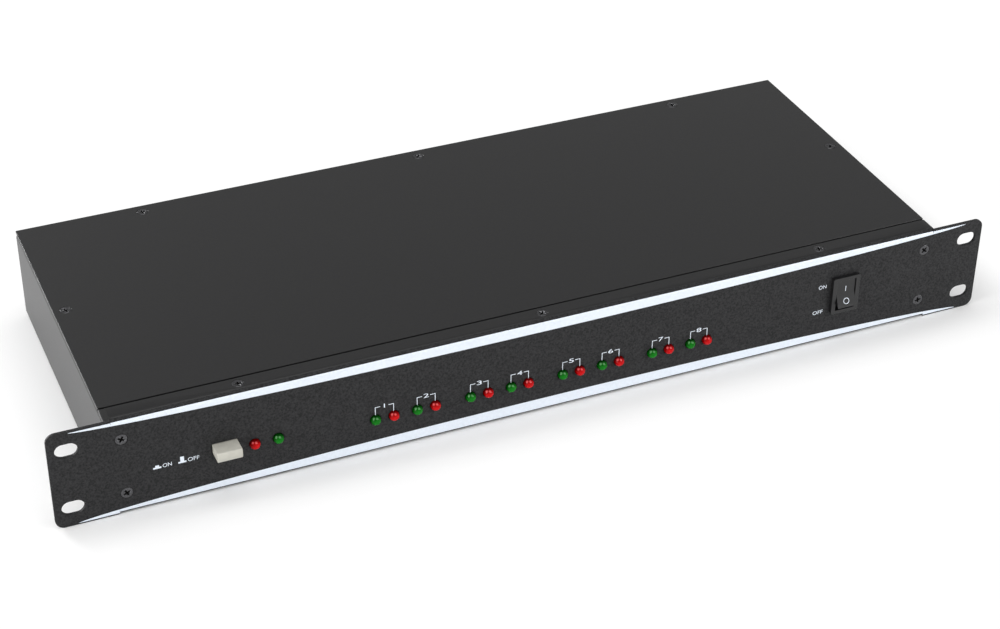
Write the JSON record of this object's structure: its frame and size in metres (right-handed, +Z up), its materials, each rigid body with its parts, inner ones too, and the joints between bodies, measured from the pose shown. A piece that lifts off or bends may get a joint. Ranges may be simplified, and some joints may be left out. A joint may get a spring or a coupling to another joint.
{
  "type": "dmx splitter",
  "caption": "Rack-mount stage lighting data splitter: folded steel box behind a wide front panel with lamps, push button and rocker switch, three-pin sockets at the rear.",
  "frame": {"origin": "bottom centre of the bounding box: under the middle of the unit, level with the front panel's bottom edge", "axes": "+X to the right along the front panel, +Y from the front panel back to the sockets, +Z up"},
  "size_m": [0.4826, 0.1898, 0.052],
  "materials": {
    "box_paint": "fine matte black powder coat",
    "panel_paint": "fine textured black powder coat",
    "black_screw": "black oxide",
    "green_lens": "clear tinted, polished",
    "red_lens": "clear tinted, polished",
    "cream_plastic": "satin moulded",
    "switch_plastic": "satin moulded",
    "socket_shell": "satin moulded",
    "latch_steel": "plain",
    "inlet_plastic": "satin moulded",
    "circuit_board": "solder resist",
    "core_steel": "varnished laminations"
  },
  "bodies": {
    "unit": {"chassis": "box_paint", "top_cover": "box_paint", "front_panel": "panel_paint", "power_switch_housing": "switch_plastic", "input_socket": "socket_shell", "mains_inlet": "inlet_plastic", "main_board": "circuit_board", "lamp_board": "circuit_board", "transformer": "core_steel", "panel_screw_1": "black_screw", "panel_screw_2": "black_screw", "panel_screw_3": "black_screw", "panel_screw_4": "black_screw", "cover_screw_1": "black_screw", "cover_screw_2": "black_screw", "cover_screw_3": "black_screw", "cover_screw_4": "black_screw", "cover_screw_5": "black_screw", "cover_screw_6": "black_screw", "cover_screw_7": "black_screw", "cover_screw_8": "black_screw", "power_lamp": "red_lens", "signal_lamp": "green_lens", "channel_1_green_lamp": "green_lens", "channel_1_red_lamp": "red_lens", "channel_2_green_lamp": "green_lens", "channel_2_red_lamp": "red_lens", "channel_3_green_lamp": "green_lens", "channel_3_red_lamp": "red_lens", "channel_4_green_lamp": "green_lens", "channel_4_red_lamp": "red_lens", "channel_5_green_lamp": "green_lens", "channel_5_red_lamp": "red_lens", "channel_6_green_lamp": "green_lens", "channel_6_red_lamp": "red_lens", "channel_7_green_lamp": "green_lens", "channel_7_red_lamp": "red_lens", "channel_8_green_lamp": "green_lens", "channel_8_red_lamp": "red_lens", "thru_socket": "socket_shell", "output_1_socket": "socket_shell", "output_2_socket": "socket_shell", "output_3_socket": "socket_shell", "output_4_socket": "socket_shell", "output_5_socket": "socket_shell", "output_6_socket": "socket_shell", "output_7_socket": "socket_shell", "output_8_socket": "socket_shell"},
    "terminate_button_body": {"terminate_button": "cream_plastic"},
    "power_rocker_body": {"power_rocker": "switch_plastic"},
    "fuse_drawer_body": {"fuse_drawer": "inlet_plastic"},
    "thru_latch_body": {"thru_latch": "latch_steel"},
    "output_1_latch_body": {"output_1_latch": "latch_steel"},
    "output_2_latch_body": {"output_2_latch": "latch_steel"},
    "output_3_latch_body": {"output_3_latch": "latch_steel"},
    "output_4_latch_body": {"output_4_latch": "latch_steel"},
    "output_5_latch_body": {"output_5_latch": "latch_steel"},
    "output_6_latch_body": {"output_6_latch": "latch_steel"},
    "output_7_latch_body": {"output_7_latch": "latch_steel"},
    "output_8_latch_body": {"output_8_latch": "latch_steel"}
  },
  "joints": [
    {"name": "terminate_press", "type": "slide", "parent": "unit", "child": "terminate_button_body", "axis": [0, 1, 0], "range_m": [0, 0.0035]},
    {"name": "power_rock", "type": "hinge", "parent": "unit", "child": "power_rocker_body", "pos_m": [0.1623, -0.08455, 0.027], "axis": [1, 0, 0], "range_deg": [0, 24]},
    {"name": "fuse_drawer_slide", "type": "slide", "parent": "unit", "child": "fuse_drawer_body", "axis": [0, 1, 0], "range_m": [0, 0.018]},
    {"name": "thru_latch_press", "type": "slide", "parent": "unit", "child": "thru_latch_body", "axis": [0, 0, -1], "range_m": [0, 0.0015], "stiffness_N_per_m": 600, "springref_m": -0.001},
    {"name": "output_1_latch_press", "type": "slide", "parent": "unit", "child": "output_1_latch_body", "axis": [0, 0, -1], "range_m": [0, 0.0015], "stiffness_N_per_m": 600, "springref_m": -0.001},
    {"name": "output_2_latch_press", "type": "slide", "parent": "unit", "child": "output_2_latch_body", "axis": [0, 0, -1], "range_m": [0, 0.0015], "stiffness_N_per_m": 600, "springref_m": -0.001},
    {"name": "output_3_latch_press", "type": "slide", "parent": "unit", "child": "output_3_latch_body", "axis": [0, 0, -1], "range_m": [0, 0.0015], "stiffness_N_per_m": 600, "springref_m": -0.001},
    {"name": "output_4_latch_press", "type": "slide", "parent": "unit", "child": "output_4_latch_body", "axis": [0, 0, -1], "range_m": [0, 0.0015], "stiffness_N_per_m": 600, "springref_m": -0.001},
    {"name": "output_5_latch_press", "type": "slide", "parent": "unit", "child": "output_5_latch_body", "axis": [0, 0, -1], "range_m": [0, 0.0015], "stiffness_N_per_m": 600, "springref_m": -0.001},
    {"name": "output_6_latch_press", "type": "slide", "parent": "unit", "child": "output_6_latch_body", "axis": [0, 0, -1], "range_m": [0, 0.0015], "stiffness_N_per_m": 600, "springref_m": -0.001},
    {"name": "output_7_latch_press", "type": "slide", "parent": "unit", "child": "output_7_latch_body", "axis": [0, 0, -1], "range_m": [0, 0.0015], "stiffness_N_per_m": 600, "springref_m": -0.001},
    {"name": "output_8_latch_press", "type": "slide", "parent": "unit", "child": "output_8_latch_body", "axis": [0, 0, -1], "range_m": [0, 0.0015], "stiffness_N_per_m": 600, "springref_m": -0.001}
  ]
}
